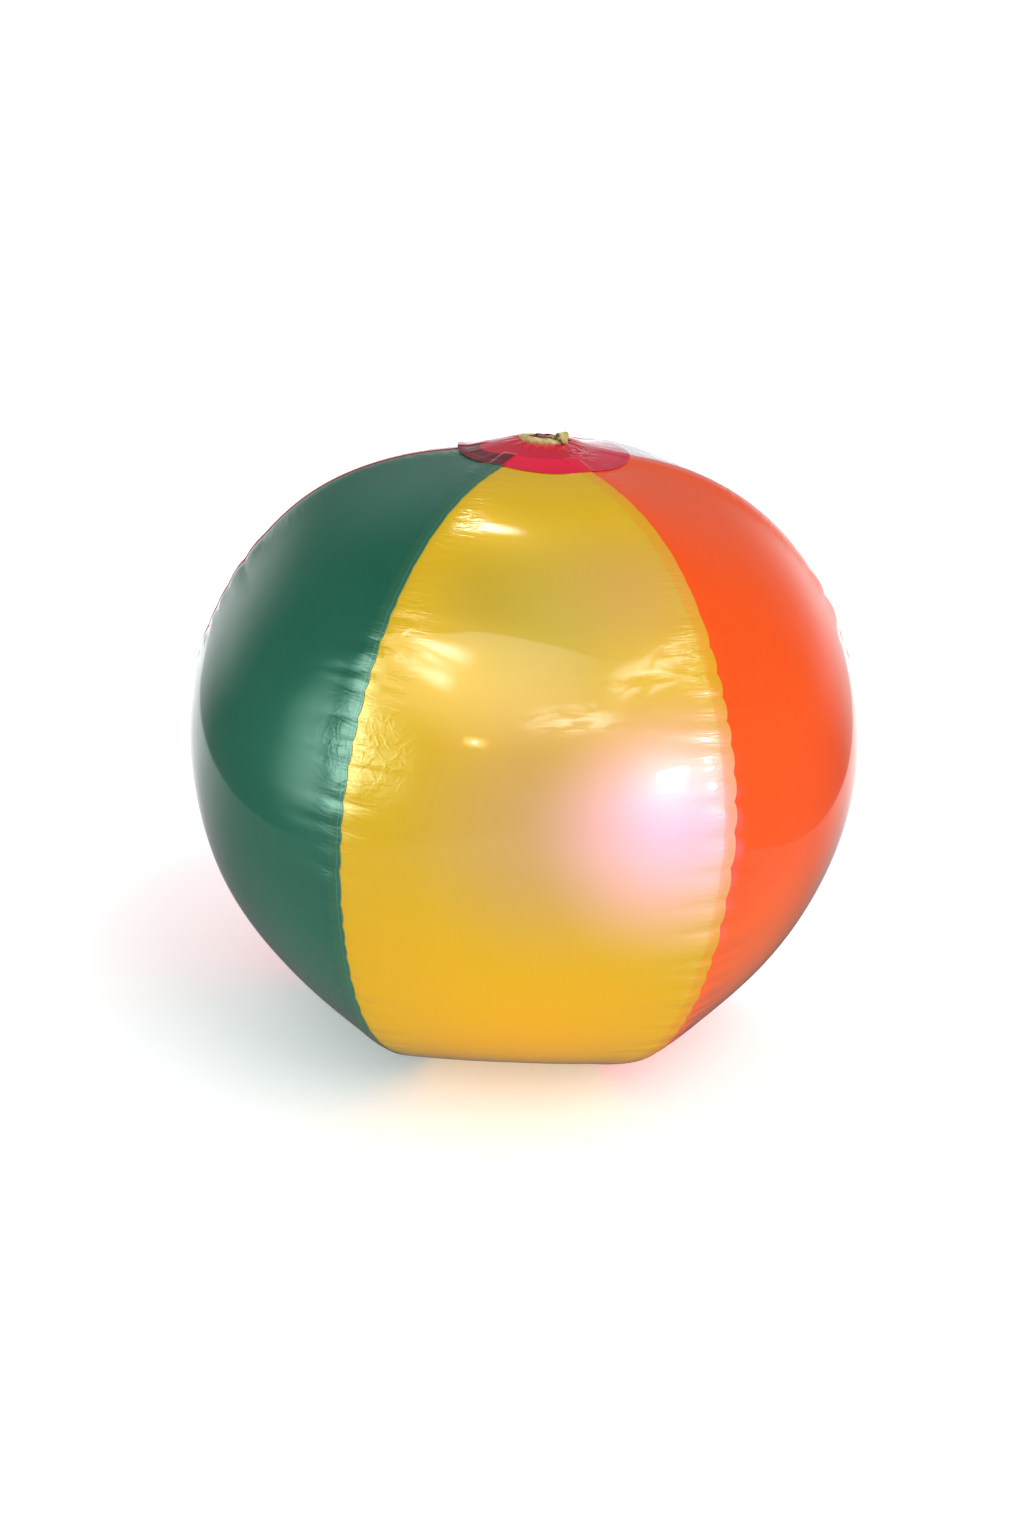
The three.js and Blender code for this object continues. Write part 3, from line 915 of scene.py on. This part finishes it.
def pvc_tint(s, cloud):
    """Clouded olive cream, and dark maroon on the back of the collar's inside: partly the cap's crimson,
    partly painted shade of the hollow.
    """
    tint = s.mix(s.range(cloud, 0.3, 0.7), colour(206, 192, 128), colour(170, 152, 84))
    across, back, height = s.node("ShaderNodeSeparateXYZ", {0: s.place()}).outputs
    radius = s.math("SQRT", s.math("ADD", s.math("POWER", across, 2.0), s.math("POWER", back, 2.0)))
    # painted shade: the back of the hollow inside the collar darkened to maroon
    within = s.math("MULTIPLY", s.range(radius, 10.7 * MM, 10.1 * MM), s.range(back, -4 * MM, 2 * MM))
    below = s.range(height, CROWN_HEIGHT + 5.6 * MM, CROWN_HEIGHT + 4.8 * MM)
    return s.mix(s.math("MULTIPLY", within, below), tint, colour(112, 30, 44))


def soft_pvc():
    """The valve's soft vinyl."""
    s = Shader("soft_pvc")
    cloud = s.noise(220.0, 3.0)
    normal = s.bump(s.noise(900.0, 2.0), 0.2, 0.1 * MM)
    normal = s.bump(s.noise(260.0, 2.0), 0.4, 0.3 * MM, normal)
    s.set(Base_Color=pvc_tint(s, cloud), Roughness=s.range(cloud, 0.3, 0.7, 0.32, 0.45), Normal=normal)
    s.set(Subsurface_Weight=0.2, Subsurface_Scale=1.5 * MM)
    return s.material


# ---------------------------------------------------------------- the object


def build():
    """Make every piece, give it its material and its body, and let it stand for its CAD node."""
    for i, name in enumerate(PANELS):
        finish = "film_" + name.split("_")[1]
        under = BASES[PANELS[(i + 1) % len(PANELS)]]
        shares = SEAM_SHARES.get(name, USUAL_SHARES)
        material = film(finish, BASES[name], under, PAINTED_LIGHT_WASHES.get(name, ()), *shares)
        finish_piece(make_panel(i), "ball", material, name)
    crimson = cap_film()
    finish_piece(make_top_cap(), "ball", crimson, "top_cap")
    finish_piece(make_bottom_cap(), "ball", crimson, "bottom_cap")
    pvc = soft_pvc()
    pieces = [
        (make_flange(), "ball", "valve_flange"),
        (make_stem(), "stem", "valve_stem"),
        (make_stopper(), "plug", "valve_plug"),
        (make_flap(), "flap", "check_flap"),
        (make_collar(), None, "valve_web"),
        (make_strap(), None, "plug_strap"),
    ]
    for piece, body, node in pieces:
        finish_piece(piece, body, pvc, node)
    collar, strap = pieces[-2][0], pieces[-1][0]
    blend_soft(collar, strap)


def blend_soft(collar, strap):
    """The collar's and the strap's placement is baked into their meshes."""
    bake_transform(collar)
    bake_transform(strap)


# ---------------------------------------------------------------- studio

BALL_MIDDLE = Vector((0, 0, EQUATOR_HEIGHT))
FLOOR_SIZE = 40.0
FLOOR_LIFT_SEEN = 0.27
FLOOR_LIFT_BOUNCED = 0.42
CARD_DISTANCE = 2.0
BACKDROP = (0.42, 0.9)  # how far back a direction points where the white backdrop starts and is full
ROOM_DARK = 0.05
ROOM_LIGHT = 0.9
# Glows of the room in the gloss: azimuth, elevation and reach in degrees, colour, strength
ROOM_GLOWS = (
    (34, 0, 38, (0.5, 0.32, 1.0), 6.0),
    (-64, 12, 33, (0.7, 1.0, 0.88), 8.0),
)
CAMERA_DISTANCE = 5.14 * EQUATOR_RADIUS
CAMERA_AZIMUTH = math.radians(-3.6)
CAMERA_ELEVATION = math.radians(21.63)
CAMERA_ROLL = math.radians(3.84)
CAMERA_LENS = 39.5
CAMERA_SHIFT = (-0.0083, -0.0246)


def facing(back):
    """The turn that points an object's Z axis back along a direction, with Y up."""
    return back.to_track_quat("Z", "Y").to_matrix().to_4x4()


def make_camera():
    """The camera looks at the middle of the ball from the photo's side, leaning as the photo does."""
    data = bpy.data.cameras.new("camera")
    data.lens = CAMERA_LENS
    data.sensor_width = 36
    data.shift_x, data.shift_y = CAMERA_SHIFT
    data.clip_start, data.clip_end = 0.01, 100
    camera = bpy.data.objects.new("camera", data)
    back = direction(CAMERA_AZIMUTH, CAMERA_ELEVATION)
    turn = facing(back) @ Matrix.Rotation(CAMERA_ROLL, 4, "Z")
    camera.matrix_world = Matrix.Translation(BALL_MIDDLE + back * CAMERA_DISTANCE) @ turn
    bpy.context.scene.collection.objects.link(camera)
    bpy.context.scene.camera = camera


# A card's left, right, lower and upper edges: axis, place and the way inward
CARD_EDGES = ((0, 0.0, 0.5), (0, 1.0, -0.5), (1, 0.0, 0.5), (1, 1.0, -0.5))


def glow(name, shade, strength, soft, ragged):
    """Light that adds to what is behind it."""
    s = Shader(name)
    where = s.node("ShaderNodeTexCoord", {}).outputs["Generated"]
    split = s.node("ShaderNodeSeparateXYZ", {0: where})
    level = strength
    for (axis, edge, inward), share in zip(CARD_EDGES, soft):
        if share:
            level = s.math("MULTIPLY", s.range(split.outputs[axis], edge, edge + inward * share), level)
    if ragged:
        level = s.math("MULTIPLY", s.range(s.noise(ragged, 3.0, where, 0.6), 0.38, 0.62), level)
    clear = s.node("ShaderNodeBsdfTransparent", {}).outputs[0]
    both = s.node("ShaderNodeAddShader", {0: clear, 1: s.emission((*shade, 1), level)})
    s.output(both.outputs[0])
    return s.material


def rectangle(name, width, height, material):
    """A flat object about the origin."""
    x, y = width / 2, height / 2
    mesh = bpy.data.meshes.new(name)
    mesh.from_pydata([(-x, -y, 0), (x, -y, 0), (x, y, 0), (-x, y, 0)], [], [(0, 1, 2, 3)])
    mesh.materials.append(material)
    made = bpy.data.objects.new(name, mesh)
    bpy.context.scene.collection.objects.link(made)
    return made


def reflected_card(name, azimuth, elevation, size, shade, strength, soft=(1, 1, 1, 1), ragged=0.0):
    """A light panel that only shows in the gloss. soft tells how far in from the left, right, lower and upper
    edge it dims, as shares of half its size: 1 all round is a round glow and 0 is a crisp edge."""
    card = rectangle(name, *size, glow(name, shade, strength, soft, ragged))
    away = direction(math.radians(azimuth), math.radians(elevation))
    card.matrix_world = Matrix.Translation(BALL_MIDDLE + away * CARD_DISTANCE) @ facing(away)
    card.visible_camera = False
    card.visible_diffuse = False
    card.visible_shadow = False


def room(n, way):
    """What the gloss sees in a direction: a white backdrop behind the ball and two coloured glows."""
    split = n.node("ShaderNodeSeparateXYZ", {0: way})
    backward = n.range(split.outputs[1], *BACKDROP, ROOM_DARK, ROOM_LIGHT)
    low = n.range(split.outputs[2], 0.42, 0.02, 0.15, 1.0)
    total = n.math("MULTIPLY", backward, low)
    for azimuth, elevation, reach, shade, strength in ROOM_GLOWS:
        level = n.toward(way, azimuth, elevation, reach, strength)
        tinted = n.node("ShaderNodeVectorMath", {0: shade, 3: level}, operation="SCALE")
        total = n.node("ShaderNodeVectorMath", {0: total, 1: tinted.outputs[0]}, operation="ADD").outputs[0]
    return total


def make_world():
    """Even white light for the matt surfaces, white for the camera and the room for the gloss."""
    world = bpy.data.worlds.new("studio")
    world.use_nodes = True
    bpy.context.scene.world = world
    n = Nodes(world.node_tree)
    way = n.node("ShaderNodeTexCoord", {}).outputs["Generated"]
    path = n.node("ShaderNodeLightPath", {})
    white = (1, 1, 1, 1)
    even = n.node("ShaderNodeBackground", {"Color": white, "Strength": 0.86}).outputs[0]
    seen = n.node("ShaderNodeBackground", {"Color": white, "Strength": 1.1}).outputs[0]
    gloss = n.node("ShaderNodeBackground", {"Color": room(n, way), "Strength": 1.0}).outputs[0]
    lit = n.node("ShaderNodeMixShader", {0: path.outputs["Is Glossy Ray"], 1: even, 2: gloss})
    final = n.node("ShaderNodeMixShader", {0: path.outputs["Is Camera Ray"], 1: lit.outputs[0], 2: seen})
    n.output(final.outputs[0], "World Output")


def table(s):
    """How bright the floor is in the gloss: a dim table that ends at both sides, brighter far off."""
    across, back, _ = s.node("ShaderNodeSeparateXYZ", {0: s.place()}).outputs
    half_width = s.math("MULTIPLY_ADD", back, 0.2, 0.43)
    inside = s.range(s.math("SUBTRACT", s.math("ABSOLUTE", across), half_width), 0.02, 0.0)
    away = s.node("ShaderNodeVectorMath", {0: s.place()}, operation="LENGTH").outputs["Value"]
    behind = s.range(back, 0.0, 0.3, 0.0, 0.5)
    return s.math("MULTIPLY", inside, s.math("ADD", s.range(away, 0.2, 0.6, 0.1, 0.26), behind))


def floor_material():
    """Plain white, lifted a little so that it stays pale. The gloss sees the table and the room instead."""
    s = Shader("floor_white")
    s.set(Base_Color=(0.93, 0.93, 0.93, 1), Roughness=1.0, Specular_IOR_Level=0.0)
    path = s.node("ShaderNodeLightPath", {})
    lift = s.math("MULTIPLY", path.outputs["Is Camera Ray"], FLOOR_LIFT_SEEN)
    lift = s.math("MULTIPLY_ADD", path.outputs["Is Diffuse Ray"], FLOOR_LIFT_BOUNCED, lift)
    s.set(Emission_Color=(1, 1, 1, 1), Emission_Strength=lift)
    from_ball = {0: s.place(), 1: tuple(BALL_MIDDLE)}
    centre = s.node("ShaderNodeVectorMath", from_ball, operation="SUBTRACT").outputs[0]
    way = s.node("ShaderNodeVectorMath", {0: centre}, operation="NORMALIZE").outputs[0]
    total = s.node("ShaderNodeVectorMath", {0: room(s, way), 1: table(s)}, operation="ADD").outputs[0]
    mixed = s.node("ShaderNodeMixShader", {0: path.outputs["Is Glossy Ray"], 1: s.surface.outputs[0]})
    s.put(mixed.inputs[2], s.emission(total, 1.0))
    s.output(mixed.outputs[0])
    return s.material


def make_key():
    """Soft, even light from the right."""
    data = bpy.data.lights.new("key", "SUN")
    data.energy = 1.1
    data.angle = math.radians(50)
    light = bpy.data.objects.new("key", data)
    light.matrix_world = facing(direction(math.radians(60), math.radians(50)))
    light.visible_glossy = False
    bpy.context.scene.collection.objects.link(light)


def make_studio():
    """World, floor and key light, and the panels of light that the gloss shows."""
    make_world()
    rectangle("floor", FLOOR_SIZE, FLOOR_SIZE, floor_material())
    make_key()
    white = (1, 1, 1)
    warm = (1.0, 0.97, 0.88)
    reflected_card("front_window", -12, 40, (2.6, 1.3), white, 2.0, (0.1, 1, 1.2, 0))
    reflected_card("right_lamp", 38.5, 10, (0.32, 0.3), (1.0, 0.85, 1.0), 50, (0.3, 0.3, 0.3, 0.3))
    reflected_card("top_lamp", 193, 74, (0.46, 0.26), warm, 24)
    reflected_card("small_lamp", -15.5, 26.8, (0.3, 0.16), (1.0, 0.75, 0.3), 16)
    reflected_card("small_spark", -15.5, 26.8, (0.07, 0.06), white, 30)
    reflected_card("lamp_left_high", -29, 49, (0.5, 0.34), warm, 13)
    reflected_card("lamp_left_low", -29, 42, (0.36, 0.3), warm, 9)
    reflected_card("lamp_right_high", 40, 43, (1.1, 0.55), warm, 11, ragged=4)
    reflected_card("lamp_right_low", 12, 34, (1.2, 0.45), warm, 10, ragged=5)


bpy.context.scene.view_settings.view_transform = "Standard"
build()
make_studio()
make_camera()
